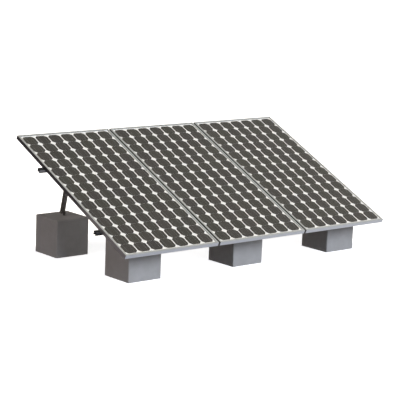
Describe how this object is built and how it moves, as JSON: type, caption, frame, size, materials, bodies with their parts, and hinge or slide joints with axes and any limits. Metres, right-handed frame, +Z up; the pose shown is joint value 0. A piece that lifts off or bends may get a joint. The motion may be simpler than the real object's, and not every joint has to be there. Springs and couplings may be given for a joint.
{
  "type": "solar panel mounting rack",
  "caption": "Tilted ground rack on ballast blocks: channel rafters, square tube struts and cross rails carrying a row of framed photovoltaic modules.",
  "frame": {"origin": "middle of the middle front footing's underside, on the ground", "axes": "+X along the row of modules, +Y towards the rear and up the slope, +Z up"},
  "size_m": [3.115, 1.6643, 1.0688],
  "materials": {
    "concrete": "cast, matt, small pores",
    "galvanised_steel": "hot-dip galvanised, weathered dull grey",
    "zinc_plated_bolts": "zinc plated, satin",
    "mill_finish_rail": "extruded, mill finish",
    "anodised_frame": "clear anodised, satin",
    "cover_glass": "tempered low-iron glass, smooth",
    "white_backsheet": "white polymer film, satin",
    "silicon_cells": "anti-reflection coated silicon wafers",
    "junction_box_plastic": "moulded black plastic"
  },
  "bodies": {
    "root": {"front_footing_left": "concrete", "rear_footing_left": "concrete", "front_strap_left": "galvanised_steel", "rear_strap_left": "galvanised_steel", "rafter_left": "galvanised_steel", "strut_left": "galvanised_steel", "front_footing_middle": "concrete", "rear_footing_middle": "concrete", "front_strap_middle": "galvanised_steel", "rear_strap_middle": "galvanised_steel", "rafter_middle": "galvanised_steel", "strut_middle": "galvanised_steel", "front_footing_right": "concrete", "rear_footing_right": "concrete", "front_strap_right": "galvanised_steel", "rear_strap_right": "galvanised_steel", "rafter_right": "galvanised_steel", "strut_right": "galvanised_steel", "front_pins": "zinc_plated_bolts", "strut_head_pins": "zinc_plated_bolts", "strut_foot_pins": "zinc_plated_bolts", "lower_rail": "mill_finish_rail", "upper_rail": "mill_finish_rail", "left_module_lower_frame": "anodised_frame", "left_module_upper_frame": "anodised_frame", "left_module_left_frame": "anodised_frame", "left_module_right_frame": "anodised_frame", "left_module_glass": "cover_glass", "left_module_backsheet": "white_backsheet", "left_module_cells": "silicon_cells", "left_module_junction_box": "junction_box_plastic", "middle_module_lower_frame": "anodised_frame", "middle_module_upper_frame": "anodised_frame", "middle_module_left_frame": "anodised_frame", "middle_module_right_frame": "anodised_frame", "middle_module_glass": "cover_glass", "middle_module_backsheet": "white_backsheet", "middle_module_cells": "silicon_cells", "middle_module_junction_box": "junction_box_plastic", "right_module_lower_frame": "anodised_frame", "right_module_upper_frame": "anodised_frame", "right_module_left_frame": "anodised_frame", "right_module_right_frame": "anodised_frame", "right_module_glass": "cover_glass", "right_module_backsheet": "white_backsheet", "right_module_cells": "silicon_cells", "right_module_junction_box": "junction_box_plastic"}
  },
  "joints": []
}
